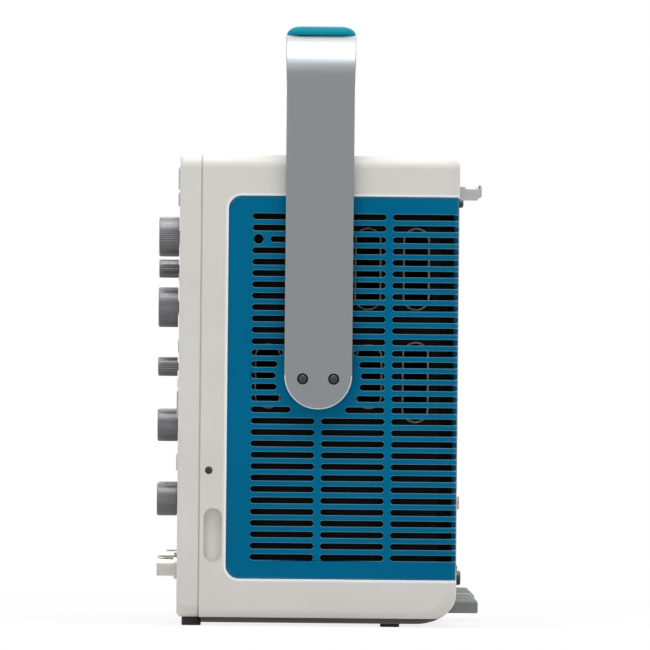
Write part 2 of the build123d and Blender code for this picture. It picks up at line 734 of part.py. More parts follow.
def make_chassis():
    """Folded sheet-metal frame: air comes in by the right-hand windows and leaves by the fan."""
    out, inn = chassis_half, chassis_half - sheet
    front, rear, low_edge, high_edge = 17.0, 128.0, 10.0, 219.0
    frame = box(-out, out, front, rear, low_edge, low_edge + sheet)
    for side in (-1, 1):
        frame += box(*sorted((side * inn, side * out)), front, rear, low_edge, high_edge)
    frame += box(-out, out, rear - sheet, rear, low_edge, high_edge)
    frame += box(-out, out, front, front + sheet, low_edge, high_edge)
    frame -= box(-out + 20, 22, 10, 20, 50, 205)
    frame -= box(30, out - 5, 10, 20, 16, 216)
    frame -= box(-170, -110, 10, 20, 16, 32)
    frame -= box(-145, 60, 120, 140, 50, 108)
    for d, low, high in windows:
        frame -= side_plate(d - window_width / 2, d + window_width / 2, low, high, inn - 5, out + 5,
                            window_width / 2 - 0.01)
    frame -= rod_x(fan_depth, fan_height, -out - 5, -inn + 5, fan_bore)
    for x, z in rear_screws:
        frame -= rod_y(x, z, 120, 130, 1.5)
    return frame


def make_case_screws():
    """Pan-head screws that hold the rear of the case."""
    screws = []
    for x, z in rear_screws:
        upper = z > pivot_height
        seat = body_depth - grille_inset if upper else body_depth
        radius = 2.2 if upper else 3.6
        head = rod_y(x, z, seat, seat + 2.2, radius)
        head = fillet(head.faces().sort_by(Axis.Y)[-1].edges(), 1.1)
        head += rod_y(x, z, 126.0, seat, 1.4)
        arm = radius * 0.55
        head -= box(x - arm, x + arm, seat + 1.2, seat + 5, z - 0.35, z + 0.35)
        head -= box(x - 0.35, x + 0.35, seat + 1.2, seat + 5, z - arm, z + arm)
        screws.append(head)
    return group(screws)


def make_main_board():
    """Acquisition board with its shield cans and chips, over the chassis floor."""
    z = main_board_height
    parts = [box(-92, 196, 24, 117, z, z + 1.6)]
    for x in channel_columns:
        parts.append(box(x - 15, x + 15, 28, 66, z + 1.6, z + 10))
    for x, d in ((0.0, 42.0), (-40.0, 42.0), (-40.0, 84.0), (120.0, 92.0), (165.0, 92.0)):
        parts.append(box(x - 13, x + 13, d - 13, d + 13, z + 1.6, z + 4.4))
    for x in (-85.0, 190.0):
        for d in (30.0, 111.0):
            parts.append(rod_z(x, d, 10 + sheet, z, 3.0))
    return group(parts)


def make_heat_sink():
    """Finned heat sink on the processor."""
    z = main_board_height + 1.6
    sink = box(20, 84, 72, 112, z, z + 6)
    for fin in range(11):
        x = 20 + 6.25 * fin
        sink += box(x, x + 1.5, 72, 112, z + 6, z + 30)
    return sink


def make_power_supply():
    """Mains power supply: board, transformer, choke, storage capacitors and a shield plate."""
    parts = [box(-172, -98, 30, 108, 14, 15.6)]
    parts.append(box(-165, -130, 55, 95, 15.6, 50))
    parts.append(box(-120, -104, 60, 90, 15.6, 40))
    for d, radius in ((40.0, 9.0), (100.0, 4.5)):
        parts.append(rod_z(-148, d, 15.6, 46, radius))
    for x in (-168, -102):
        for d in (34, 104):
            parts.append(rod_z(x, d, 10 + sheet, 14, 2.5))
    parts.append(box(-95.2, -94, 26, 116, 10 + sheet, 104))
    return group(parts)


def make_fan_frame():
    """Square fan housing with three struts and a bearing tube."""
    x0 = -(chassis_half - sheet)
    x1 = x0 + fan_thickness
    half = fan_size / 2
    frame = side_plate(fan_depth - half, fan_depth + half, fan_height - half, fan_height + half, x0, x1, 4)
    frame -= rod_x(fan_depth, fan_height, x0 - 1, x1 + 1, fan_bore)
    hub = rod_x(fan_depth, fan_height, x1 - 3, x1, 14)
    for strut in range(3):
        arm = Box(3, 4, 25)
        turn = Rot(120 * strut, 0, 0)
        hub += Pos(x1 - 1.5, depth(fan_depth), height(fan_height)) * turn * Pos(0, 0, 25) * arm
    hub += rod_x(fan_depth, fan_height, x0 + 6, x1, 5)
    hub -= rod_x(fan_depth, fan_height, x0 + 5, x1 - 1, fan_shaft_radius + running_clearance)
    for y_sign in (-1, 1):
        for z_sign in (-1, 1):
            corner = fan_depth + y_sign * (half - 4.5), fan_height + z_sign * (half - 4.5)
            frame -= rod_x(*corner, x0 - 1, x1 + 1, 2.1)
    return frame + hub


def make_fan_rotor():
    """Seven pitched blades on a motor cup, with the shaft that runs in the bearing tube."""
    x0 = -(chassis_half - sheet) + 1.0
    cup = rod_x(fan_depth, fan_height, x0, x0 + 14.5, 15)
    cup -= rod_x(fan_depth, fan_height, x0 + 3, x0 + 16, 6.2)
    cup += rod_x(fan_depth, fan_height, x0 + 1, x0 + 16, fan_shaft_radius)
    reach = rod_x(fan_depth, fan_height, x0, x0 + 14.5, fan_blade_radius)
    reach -= rod_x(fan_depth, fan_height, x0 - 1, x0 + 16, 14)
    centre = Pos(x0 + 7.2, depth(fan_depth), height(fan_height))
    for blade in range(7):
        shape = Rot(360 / 7 * blade, 0, 0) * Pos(0, 0, 25) * Rot(0, 0, 40) * Box(17, 1.6, 24)
        cup += (centre * shape) & reach
    return cup


nodes["front_bezel"] = make_front_bezel()
nodes["control_panel"] = make_control_panel()
nodes["main_case"] = make_main_case()
nodes["right_grille"] = make_grille(1)
nodes["left_grille"] = make_grille(-1)
nodes["base_plate"] = make_base_plate()
nodes["rear_cover"] = make_rear_cover()
nodes["rear_panel"] = make_rear_panel()
nodes["rear_standoffs"] = make_rear_standoffs()
nodes["rubber_feet"] = make_rubber_feet()
nodes["chassis"] = make_chassis()
nodes["main_board"] = make_main_board()
nodes["panel_board"] = make_panel_board()
nodes["encoders"] = make_encoders()
nodes["power_supply"] = make_power_supply()
nodes["heat_sink"] = make_heat_sink()
nodes["fan_frame"] = make_fan_frame()
nodes["fan_rotor"] = make_fan_rotor()
nodes["display_module"] = make_display_module()
nodes["display_window"] = make_display_window()
nodes["input_jacks"] = make_input_jacks()
nodes["channel_light_bars"] = make_light_bars()
nodes["probe_lugs"] = make_probe_lugs()
nodes["front_usb_ports"] = make_usb_ports()
nodes["menu_key_mat"] = make_menu_mat()
nodes["ac_inlet"] = make_ac_inlet()
nodes["rear_ports"] = make_rear_ports()
nodes["case_screws"] = make_case_screws()
nodes["handle_hubs"] = make_handle_hubs()
nodes["handle_frame"] = make_handle_frame()
nodes["handle_grip"] = make_handle_grip()
nodes["handle_pivots"] = make_handle_pivots()
nodes["handle_screws"] = make_handle_screws()
for name, pocket_x in zip(("left_flip_foot", "right_flip_foot"), pocket_centres):
    nodes[name] = make_flip_foot(pocket_x)
for name, x, z, cap, shaft in knobs:
    nodes[name] = make_knob(x, z, cap, shaft)
for name, x, z, w, h in buttons:
    nodes[name] = make_button(x, z, w, h)

os.makedirs("parts", exist_ok=True)
for name, shape in nodes.items():
    export_step(shape, f"parts/{name}.step")
print(len(nodes), "nodes written")
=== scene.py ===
import math

import bmesh
import bpy
from mathutils import Matrix, Vector


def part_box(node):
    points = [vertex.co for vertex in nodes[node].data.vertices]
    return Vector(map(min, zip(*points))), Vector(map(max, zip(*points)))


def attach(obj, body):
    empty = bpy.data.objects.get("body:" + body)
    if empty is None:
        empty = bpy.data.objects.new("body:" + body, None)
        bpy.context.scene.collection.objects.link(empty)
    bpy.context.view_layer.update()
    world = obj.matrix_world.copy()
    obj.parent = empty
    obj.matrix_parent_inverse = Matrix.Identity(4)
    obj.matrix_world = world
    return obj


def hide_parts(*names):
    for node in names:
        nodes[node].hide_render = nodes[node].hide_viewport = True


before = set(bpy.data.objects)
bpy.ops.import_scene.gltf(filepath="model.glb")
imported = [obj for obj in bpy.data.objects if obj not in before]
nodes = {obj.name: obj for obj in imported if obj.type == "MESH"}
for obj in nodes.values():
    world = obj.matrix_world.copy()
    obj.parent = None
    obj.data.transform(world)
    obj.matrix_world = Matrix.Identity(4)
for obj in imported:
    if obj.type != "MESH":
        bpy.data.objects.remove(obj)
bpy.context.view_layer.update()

mm = 0.001
frontY = -69 * mm  # front face of the bezel
baseZ = 1.6 * mm  # underside of the case above the bench
nearly = 1e-6  # metres apart at which two places count as one


def place(x, d, z):  # x, depth behind the bezel face and height over the case's underside, in mm
    return Vector((x * mm, frontY + d * mm, baseZ + z * mm))


def behindAndAbove(point):  # the same depth and height, read back from a point
    return (point.y - frontY) / mm, (point.z - baseZ) / mm


# The camera looks square on at the right side, through a long lens
cameraSet = {"lens": 1500, "sensor": 36, "clipEnd": 100, "frameWidth": 318.5, "middle": (71.6, 146.2),
             "roll": 0.55, "nearFace": 213.5}

cameraData = bpy.data.cameras.new("camera")
cameraData.lens = cameraSet["lens"]
cameraData.sensor_width = cameraSet["sensor"]
cameraData.clip_end = cameraSet["clipEnd"]
camera = bpy.data.objects.new("camera", cameraData)
bpy.context.scene.collection.objects.link(camera)
distance = cameraSet["frameWidth"] * mm * cameraSet["lens"] / cameraSet["sensor"]
camera.matrix_world = (
    Matrix.Translation(place(cameraSet["nearFace"] + distance / mm, *cameraSet["middle"]))
    @ Matrix.Rotation(math.radians(90), 4, "Z")
    @ Matrix.Rotation(math.radians(90), 4, "X")
    @ Matrix.Rotation(math.radians(cameraSet["roll"]), 4, "Z")
)
bpy.context.scene.camera = camera
bpy.context.scene.view_settings.view_transform = "Standard"
print("camera ready")


# Colours and shader helpers
def linear(hexColour):  # sRGB hex to linear colour, fully opaque
    channels = [int(hexColour[i:i + 2], 16) / 255 for i in (1, 3, 5)]
    return tuple(c / 12.92 if c <= 0.04045 else ((c + 0.055) / 1.055) ** 2.4 for c in channels) + (1.0,)


def addNode(tree, kind, settings=None, links=None):  # settings are inputs, properties or a ramp's stops
    node = tree.nodes.new(kind)
    for name, value in (settings or {}).items():
        if name == "stops":
            ramp = node.color_ramp.elements
            while len(ramp) < len(value):
                ramp.new(0.5)
            for stop, (position, colour) in zip(ramp, value):
                stop.position, stop.color = position, colour
        elif isinstance(name, int) or name in node.inputs:
            node.inputs[name].default_value = value
        else:
            setattr(node, name, value)
    for name, source in (links or {}).items():
        tree.links.new(source, node.inputs[name])
    return node


def perMetre(sizeInMm):  # noise scale whose features are about this many millimetres across
    return 1 / (sizeInMm * mm)


def newMaterial(name):
    material = bpy.data.materials.new(name)
    material.use_nodes = True
    material.node_tree.nodes.clear()
    return material, material.node_tree


def blendColours(tree, low, high, amount):  # from one near colour to the other as the pattern rises
    return addNode(tree, "ShaderNodeValToRGB", {"stops": [(0.3, linear(low)), (0.7, linear(high))]},
                   {"Fac": amount}).outputs["Color"]


def driftColour(tree, coords, size, low, high):  # slow change between two near colours
    drift = addNode(tree, "ShaderNodeTexNoise", {"Scale": perMetre(size), "Detail": 4.0}, {"Vector": coords})
    return blendColours(tree, low, high, drift.outputs["Fac"])


# The edge of the side opening: a narrow band painted paler than the grained skin, a painted highlight along
# the edge.
# Its distance comes from the opening's rounded outline as seen from the side.
edgeHighlightSet = {"front": 24.3, "bottom": 21.8, "top": 209.0, "corner": 6.4, "reach": 0.4, "near": 0.9, "far": 2.0,
           "insideWidth": 184.0, "tone": "#e2ebf1"}


def openingEdge(tree, coords, colour):
    e = edgeHighlightSet
    middle = place(0, e["front"], (e["bottom"] + e["top"]) / 2) + Vector((0, e["reach"] / 2, 0))
    corner = e["corner"] * mm
    halfHeight = (e["top"] - e["bottom"]) / 2 * mm
    straightPart = (1, e["reach"] / 2 - corner, halfHeight - corner)
    centred = addNode(tree, "ShaderNodeVectorMath", {"operation": "SUBTRACT", 1: middle}, {0: coords})
    folded = addNode(tree, "ShaderNodeVectorMath", {"operation": "ABSOLUTE"}, {0: centred.outputs[0]})
    outside = addNode(tree, "ShaderNodeVectorMath", {"operation": "SUBTRACT", 1: straightPart},
                      {0: folded.outputs[0]})
    clipped = addNode(tree, "ShaderNodeVectorMath", {"operation": "MAXIMUM", 1: (0, 0, 0)},
                      {0: outside.outputs[0]})
    away = addNode(tree, "ShaderNodeVectorMath", {"operation": "LENGTH"}, {0: clipped.outputs[0]})
    band = addNode(tree, "ShaderNodeMapRange",
                   {"From Min": corner + e["near"] * mm, "From Max": corner + e["far"] * mm,
                    "To Min": 1, "To Max": 0}, {"Value": away.outputs["Value"]})
    axes = addNode(tree, "ShaderNodeSeparateXYZ", None, {0: folded.outputs[0]})
    onSide = addNode(tree, "ShaderNodeMath", {"operation": "GREATER_THAN", 1: e["insideWidth"] * mm},
                     {0: axes.outputs["X"]})
    amount = addNode(tree, "ShaderNodeMath", {"operation": "MULTIPLY"},
                     {0: band.outputs["Result"], 1: onSide.outputs[0]})
    return addNode(tree, "ShaderNodeMix", {"data_type": "RGBA", 7: linear(e["tone"])},
                   {0: amount.outputs[0], 6: colour}).outputs[2]


# Moulded plastics, paints and inks: an even colour that drifts a little, a fine grain and slightly uneven
# gloss. The real grain is near 0.1 mm, too fine to show, so it is drawn a few times coarser.
plasticSet = {"ior": 1.5, "specular": 0.5, "speckCoarser": 3, "glossSpread": 0.06, "bumpDepth": 0.08}


def mouldedPlastic(name, finish, extra):
    low, high, rough, grainSize, bumpStrength, driftSize = finish
    spread = plasticSet["glossSpread"]
    material, tree = newMaterial(name)
    coords = addNode(tree, "ShaderNodeTexCoord").outputs["Object"]
    colour = driftColour(tree, coords, driftSize, low, high)
    # where given, a paler band along an edge: a painted highlight
    if "edge" in extra:
        colour = extra["edge"](tree, coords, colour)
    speck = addNode(tree, "ShaderNodeTexNoise",
                    {"Scale": perMetre(grainSize * plasticSet["speckCoarser"]), "Detail": 2.0},
                    {"Vector": coords})
    gloss = addNode(tree, "ShaderNodeMapRange", {"To Min": rough - spread, "To Max": rough + spread},
                    {"Value": speck.outputs["Fac"]})
    grain = addNode(tree, "ShaderNodeTexNoise",
                    {"Scale": perMetre(grainSize), "Detail": 3.0, "Roughness": 0.6}, {"Vector": coords})
    bump = addNode(tree, "ShaderNodeBump",
                   {"Strength": bumpStrength, "Distance": plasticSet["bumpDepth"] * mm},
                   {"Height": grain.outputs["Fac"]})
    shader = addNode(tree, "ShaderNodeBsdfPrincipled",
                     {"IOR": plasticSet["ior"], "Metallic": extra.get("metal", 0.0),
                      "Specular IOR Level": extra.get("specular", plasticSet["specular"])},
                     {"Base Color": colour, "Roughness": gloss.outputs["Result"],
                      "Normal": bump.outputs["Normal"]})
    addNode(tree, "ShaderNodeOutputMaterial", None, {"Surface": shader.outputs["BSDF"]})
    return material


# Metals: brushed, plated or painted, with fine lines or mottling in the colour, the gloss and the surface
metalSet = {"glossBelow": 0.05, "glossAbove": 0.08, "bumpDepth": 0.05}


def plainMetal(name, finish, stretch):
    low, high, rough, grainSize, bumpStrength = finish
    material, tree = newMaterial(name)
    coords = addNode(tree, "ShaderNodeTexCoord").outputs["Object"]
    drawn = addNode(tree, "ShaderNodeMapping", {"Scale": stretch}, {"Vector": coords})
    lines = addNode(tree, "ShaderNodeTexNoise", {"Scale": perMetre(grainSize), "Detail": 4.0},
                    {"Vector": drawn.outputs["Vector"]})
    colour = blendColours(tree, low, high, lines.outputs["Fac"])
    gloss = addNode(tree, "ShaderNodeMapRange",
                    {"To Min": rough - metalSet["glossBelow"], "To Max": rough + metalSet["glossAbove"]},
                    {"Value": lines.outputs["Fac"]})
    bump = addNode(tree, "ShaderNodeBump",
                   {"Strength": bumpStrength, "Distance": metalSet["bumpDepth"] * mm},
                   {"Height": lines.outputs["Fac"]})
    shader = addNode(tree, "ShaderNodeBsdfPrincipled", {"Metallic": 1.0},
                     {"Base Color": colour, "Roughness": gloss.outputs["Result"],
                      "Normal": bump.outputs["Normal"]})
    addNode(tree, "ShaderNodeOutputMaterial", None, {"Surface": shader.outputs["BSDF"]})
    return material


# Screen glass: dark and glossy, with the faint blue-black of a switched-off display under it
glassSet = {"low": "#0c0f14", "high": "#10141a", "drift": 35, "smear": 20, "gloss": (0.06, 0.14), "ior": 1.5,
            "specular": 0.4}


def screenGlass(name):
    material, tree = newMaterial(name)
    coords = addNode(tree, "ShaderNodeTexCoord").outputs["Object"]
    colour = driftColour(tree, coords, glassSet["drift"], glassSet["low"], glassSet["high"])
    smear = addNode(tree, "ShaderNodeTexNoise", {"Scale": perMetre(glassSet["smear"]), "Detail": 3.0},
                    {"Vector": coords})
    sharpest, dullest = glassSet["gloss"]
    gloss = addNode(tree, "ShaderNodeMapRange", {"To Min": sharpest, "To Max": dullest},
                    {"Value": smear.outputs["Fac"]})
    shader = addNode(tree, "ShaderNodeBsdfPrincipled",
                     {"IOR": glassSet["ior"], "Specular IOR Level": glassSet["specular"]},
                     {"Base Color": colour, "Roughness": gloss.outputs["Result"]})
    addNode(tree, "ShaderNodeOutputMaterial", None, {"Surface": shader.outputs["BSDF"]})
    return material


plasticFinishes = {  # low and high colour, roughness, grain in mm, bump strength, colour drift in mm
    # Grained satin cream; the case's own has a painted highlight: a paler band along the edge round the side
    # opening
    "cream_moulded_abs": ("#cbc8c2", "#d1cec9", 0.52, 0.7, 0.10, 60),
    "cream_moulded_case_abs": ("#cbc8c2", "#d1cec9", 0.52, 0.7, 0.10, 60),
    # Self-coloured blue with a spark-eroded skin that hardly shines; the bars' upper and lower rounded edges
    # are painted greyer and paler as a highlight
    "blue_moulded_abs": ("#005f86", "#00678d", 0.42, 0.7, 0.12, 50),
    "blue_abs_painted_highlight_edge": ("#3f7486", "#477c8d", 0.35, 0.7, 0.08, 50),
    # Soft elastomer over the handle bar: a dull, greener blue
    "blue_soft_grip": ("#007688", "#007d8f", 0.5, 0.6, 0.14, 40),
    # Charcoal, open-celled and quite dull
    "dark_moulded_abs": ("#2e2e2d", "#363635", 0.6, 0.8, 0.15, 40),
    "foam_gasket": ("#a9a49f", "#b3aea9", 0.8, 0.5, 0.2, 12),
    # Sprayed panel with an even satin, and flake paint that glints along the knobs' ribs
    "satin_panel_grey": ("#b4b6b8", "#bbbdbf", 0.5, 0.6, 0.08, 50),
    "metallic_grey_knob_paint": ("#606062", "#686869", 0.34, 0.5, 0.05, 10),
    # Plain grey mouldings with a light grain; the upper rear pieces are painted paler as light from above
    "foot_grey_abs": ("#747775", "#7d807e", 0.55, 0.7, 0.12, 20),
    "upper_grey_abs_painted_light": ("#b0b3b2", "#b9bcba", 0.5, 0.7, 0.1, 20),
    # Painted shade on the ribs and rim inside the cover, where they show through the slots, and black rubber
    # under the case: dark, rough and dull
    "cover_inside_painted_shade": ("#1b1c1d", "#232425", 0.7, 1.0, 0.2, 15),
    "moulded_rubber": ("#222222", "#2b2b2a", 0.75, 0.9, 0.2, 10),
    # Dry-looking silicone, and harder caps with a little more shine
    "silicone_keys": ("#a5a8ab", "#acafb2", 0.6, 0.6, 0.08, 15),
    "key_cap_abs": ("#c3c5c6", "#cbcdce", 0.42, 0.5, 0.06, 15),
    # Glossy lacquer that lies unevenly over the copper
    "solder_mask_green": ("#0f3a22", "#164c2c", 0.35, 1.2, 0.2, 6),
    # Screen-printed inks: flat, thin and slightly rough
    "dark_screen_print": ("#3c3f43", "#44474b", 0.6, 0.4, 0.1, 8),
    "white_pointer_ink": ("#e4e4e2", "#ebebe9", 0.5, 0.4, 0.08, 6),
    "channel_1_screen_print": ("#c9a81f", "#d2b12a", 0.5, 0.4, 0.08, 8),
    "channel_2_screen_print": ("#2b93ad", "#349cb6", 0.5, 0.4, 0.08, 8),
    "channel_3_screen_print": ("#a8468f", "#b14f98", 0.5, 0.4, 0.08, 8),
    "channel_4_screen_print": ("#4b9a4e", "#54a357", 0.5, 0.4, 0.08, 8),
    # Zinc on the frame's punched edges, pale as a painted highlight: mottled and without a mirror
    "zinc_window_edge_painted_highlight": ("#b0b4b2", "#bcc0be", 0.45, 0.8, 0.1, 8),
}
plasticExtras = {
    "cream_moulded_case_abs": {"edge": openingEdge},
    "blue_moulded_abs": {"specular": 0.03},
    "blue_abs_painted_highlight_edge": {"specular": 0.2},
    "blue_soft_grip": {"specular": 0.05},
    "metallic_grey_knob_paint": {"metal": 0.6},
}
metalFinishes = {  # low and high colour, roughness, grain in mm, bump strength
    # Silver paint on the arms, and a brighter metal on the rounded edges at their lower ends as a painted
    # highlight
    "silver_painted_aluminium": ("#808386", "#878a8d", 0.4, 0.4, 0.04),
    "aluminium_edge_painted_highlight": ("#c3cacd", "#cdd4d6", 0.4, 0.8, 0.04),
    # Steel: darkened to near black for the frame as painted shade, bare where it was cut, blackened on the
    # screws
    "black_coated_steel": ("#151617", "#1c1d1f", 0.5, 1.5, 0.1),
    "bare_cut_steel": ("#b4b7ba", "#c8cacc", 0.3, 2.5, 0.1),
    "blackened_steel": ("#3c3c3e", "#48484a", 0.28, 0.8, 0.08),
    # Warm bright plating, and aluminium with fine lines brushed across it
    "nickel_plated_brass": ("#b5b2aa", "#c6c3bb", 0.22, 1.0, 0.05),
    "brushed_panel_aluminium": ("#a3a6a9", "#b3b6b9", 0.35, 0.6, 0.1),
}
metalStretch = {"brushed_panel_aluminium": (0.05, 1, 1)}

finishes = {name: mouldedPlastic(name, finish, plasticExtras.get(name, {}))
            for name, finish in plasticFinishes.items()}
for name, finish in metalFinishes.items():
    finishes[name] = plainMetal(name, finish, metalStretch.get(name, (1, 1, 1)))
finishes["screen_glass"] = screenGlass("screen_glass")
print("materials ready:", len(finishes))


# Modelling helpers
def selectOnly(piece):
    if bpy.context.object and bpy.context.object.mode != "OBJECT":
        bpy.ops.object.mode_set(mode="OBJECT")
    bpy.ops.object.select_all(action="DESELECT")
    piece.select_set(True)
    bpy.context.view_layer.objects.active = piece


def settle(piece):  # leaves the object at the origin with its place in the mesh
    selectOnly(piece)
    bpy.ops.object.transform_apply(location=True, rotation=True, scale=True)


def startFrom(primitive, **settings):  # adds a primitive with nothing else selected, and settles it
    bpy.ops.object.select_all(action="DESELECT")
    primitive(**settings)
    piece = bpy.context.object
    settle(piece)
    return piece


def pick(piece, kind, test):  # in edit mode, selects the faces or edges that pass the test
    bpy.ops.mesh.select_mode(type="FACE" if kind == "faces" else "EDGE")
    bpy.ops.mesh.select_all(action="DESELECT")
    mesh = bmesh.from_edit_mesh(piece.data)
    for part in getattr(mesh, kind):
        if test(part):
            part.select_set(True)
    bmesh.update_edit_mesh(piece.data)


def runsAlong(edge, axis):  # axis is x, y or z
    return abs(getattr((edge.verts[0].co - edge.verts[1].co).normalized(), axis)) > 0.9


def liesAt(edge, axis, where):
    return all(abs(getattr(vert.co, axis) - where) < nearly for vert in edge.verts)


def applyModifiers(piece):
    selectOnly(piece)
    for modifier in list(piece.modifiers):
        bpy.ops.object.modifier_apply(modifier=modifier.name)


def joinPieces(pieces, name):
    selectOnly(pieces[0])
    for piece in pieces[1:]:
        piece.select_set(True)
    bpy.ops.object.join()
    pieces[0].name = name
    return pieces[0]


def finishPiece(piece, name, finish, body, replaced=(), smoothAngle=35):
    piece.name = name
    selectOnly(piece)
    bpy.ops.object.shade_smooth_by_angle(angle=math.radians(smoothAngle))
    piece.data.materials.clear()
    piece.data.materials.append(finishes[finish])
    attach(piece, body)
    if replaced:
        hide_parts(*replaced)


# Shells and pressed parts: the drawn shape with the small rounded edges that moulding and painting leave
shellSet = {"weld": 0.001, "flatAngle": 0.5, "sharpAngle": 40, "segments": 2}


def roundedCopy(node, look):
    piece = bpy.data.objects.new(node + "_shell", nodes[node].data.copy())
    bpy.context.scene.collection.objects.link(piece)
    selectOnly(piece)
    bpy.ops.mesh.customdata_custom_splitnormals_clear()
    bpy.ops.object.mode_set(mode="EDIT")
    bpy.ops.mesh.select_all(action="SELECT")
    bpy.ops.mesh.remove_doubles(threshold=shellSet["weld"] * mm)
    bpy.ops.mesh.dissolve_limited(angle_limit=math.radians(shellSet["flatAngle"]))
    keepOut = look.get("keepOut", lambda middle: False)
    sharp = math.radians(shellSet["sharpAngle"])
    pick(piece, "edges", lambda edge: edge.is_manifold and edge.calc_face_angle(0) > sharp
         and not keepOut((edge.verts[0].co + edge.verts[1].co) / 2))
    bpy.ops.mesh.bevel(offset=look["edge"] * mm, segments=look.get("segments", shellSet["segments"]),
                       affect="EDGES", clamp_overlap=False)
    bpy.ops.object.mode_set(mode="OBJECT")
    edgeTest = look.get("edgeTest", lambda face: True)
    rounded = [face.index for face in piece.data.polygons if face.select and edgeTest(face)]
    finishPiece(piece, piece.name, look["finish"], look["body"], [node])
    if "edgeFinish" in look:
        piece.data.materials.append(finishes[look["edgeFinish"]])
        for index in rounded:
            piece.data.polygons[index].material_index = 1
    if "regionFinish" in look:
        piece.data.materials.append(finishes[look["regionFinish"]])
        for face in piece.data.polygons:
            if look["regionTest"](face):
                face.material_index = len(piece.data.materials) - 1
    evener = piece.modifiers.new("even shading", "WEIGHTED_NORMAL")
    evener.keep_sharp = True
    applyModifiers(piece)


# Places on the shells that keep their drawn edges or take another finish, in mm. The bars' slope is a
# share of upright in a face's direction.
regionSet = {"sideBeyond": 200, "sideDetailBehind": 23.5, "sideDetailAbove": (25, 80), "lowCornerBelow": 5.5,
             "screwBehind": (57, 80), "screwAbove": (115, 124), "armEndBelow": 121, "barSlope": 0.15,
             "coverInsideBefore": 134.4, "coverInsideBeyond": 165, "hookAbove": 150}


def keepsDrawnEdges(point):  # the small hole, the finger recess and the lowest corners of the case sides
    behind, above = behindAndAbove(point)
    low, high = regionSet["sideDetailAbove"]
    inDetail = behind < regionSet["sideDetailBehind"] and low < above < high
    return abs(point.x) > regionSet["sideBeyond"] * mm and (inDetail or above < regionSet["lowCornerBelow"])


def atScrew(point):  # the countersinks in the handle arms stay crisp
    behind, above = behindAndAbove(point)
    return (regionSet["screwBehind"][0] < behind < regionSet["screwBehind"][1]
            and regionSet["screwAbove"][0] < above < regionSet["screwAbove"][1])


# These edges take a paler painted highlight
def barEdge(face):  # the upper and lower edges of the bars between the slots
    return abs(face.normal.z) > regionSet["barSlope"]


def armEnd(face):  # the round lower end of each handle arm, given a painted highlight on its rounded edges
    return behindAndAbove(face.center)[1] < regionSet["armEndBelow"] and not atScrew(face.center)


def coverInside(face):  # ribs and rim on the inner side of the rear cover, darkened as painted shade
    return (behindAndAbove(face.center)[0] < regionSet["coverInsideBefore"]
            and abs(face.center.x) > regionSet["coverInsideBeyond"] * mm)


def topHook(face):  # the upper pair of the four rear pieces, painted paler as light from above
    return face.center.z > regionSet["hookAbove"] * mm


shells = {
    "main_case": {"edge": 0.5, "finish": "cream_moulded_case_abs", "keepOut": keepsDrawnEdges,
                  "body": "case", "slot": "cream_plastic"},
    "rear_cover": {"edge": 0.4, "finish": "cream_moulded_abs", "regionFinish": "cover_inside_painted_shade",
                   "regionTest": coverInside, "body": "case", "slot": "cream_plastic"},
    "front_bezel": {"edge": 0.3, "finish": "cream_moulded_abs", "body": "case", "slot": "cream_plastic"},
    **{side + "_grille": {"edge": 0.35, "finish": "blue_moulded_abs", "edgeFinish": "blue_abs_painted_highlight_edge",
                          "edgeTest": barEdge, "body": "case", "slot": "blue_plastic"}
       for side in ("right", "left")},
    "base_plate": {"edge": 0.3, "finish": "dark_moulded_abs", "body": "case", "slot": "dark_plastic"},
    "rear_standoffs": {"edge": 0.6, "finish": "foot_grey_abs", "regionFinish": "upper_grey_abs_painted_light",
                       "regionTest": topHook, "body": "case", "slot": "grey_plastic"},
    "control_panel": {"edge": 0.2, "finish": "satin_panel_grey", "body": "case", "slot": "panel_grey"},
    "handle_frame": {"edge": 0.6, "segments": 3, "finish": "silver_painted_aluminium",
                     "edgeFinish": "aluminium_edge_painted_highlight", "edgeTest": armEnd, "keepOut": atScrew,
                     "body": "handle", "slot": "handle_metal"},
    **{side + "_flip_foot": {"edge": 0.5, "finish": "foot_grey_abs", "body": side + "_foot",
                             "slot": "grey_plastic"} for side in ("left", "right")},
}
for node, look in shells.items():
    roundedCopy(node, look)
print("shells rounded:", len(shells))


# Seam gasket: a thin grey ring that fills the groove between the bezel and the case
gasketSet = {"width": 426.3, "height": 226.0, "middle": 115.95, "front": 10.3, "back": 11.1, "corner": 6.2,
             "cornerSteps": 8, "wall": 1.0}
g = gasketSet
gasket = startFrom(bpy.ops.mesh.primitive_cube_add, size=1,
                   location=place(0, (g["front"] + g["back"]) / 2, g["middle"]),
                   scale=(g["width"] * mm, (g["back"] - g["front"]) * mm, g["height"] * mm))
bpy.ops.object.mode_set(mode="EDIT")
pick(gasket, "edges", lambda edge: runsAlong(edge, "y"))
bpy.ops.mesh.bevel(offset=g["corner"] * mm, segments=g["cornerSteps"], affect="EDGES")
pick(gasket, "faces", lambda face: abs(face.normal.y) > 0.9)
bpy.ops.mesh.delete(type="FACE")
bpy.ops.object.mode_set(mode="OBJECT")
wallMaker = gasket.modifiers.new("wall", "SOLIDIFY")
wallMaker.thickness = g["wall"] * mm
wallMaker.offset = -1
applyModifiers(gasket)
finishPiece(gasket, "case_seam_gasket", "foam_gasket", "case")
print("gasket ready")


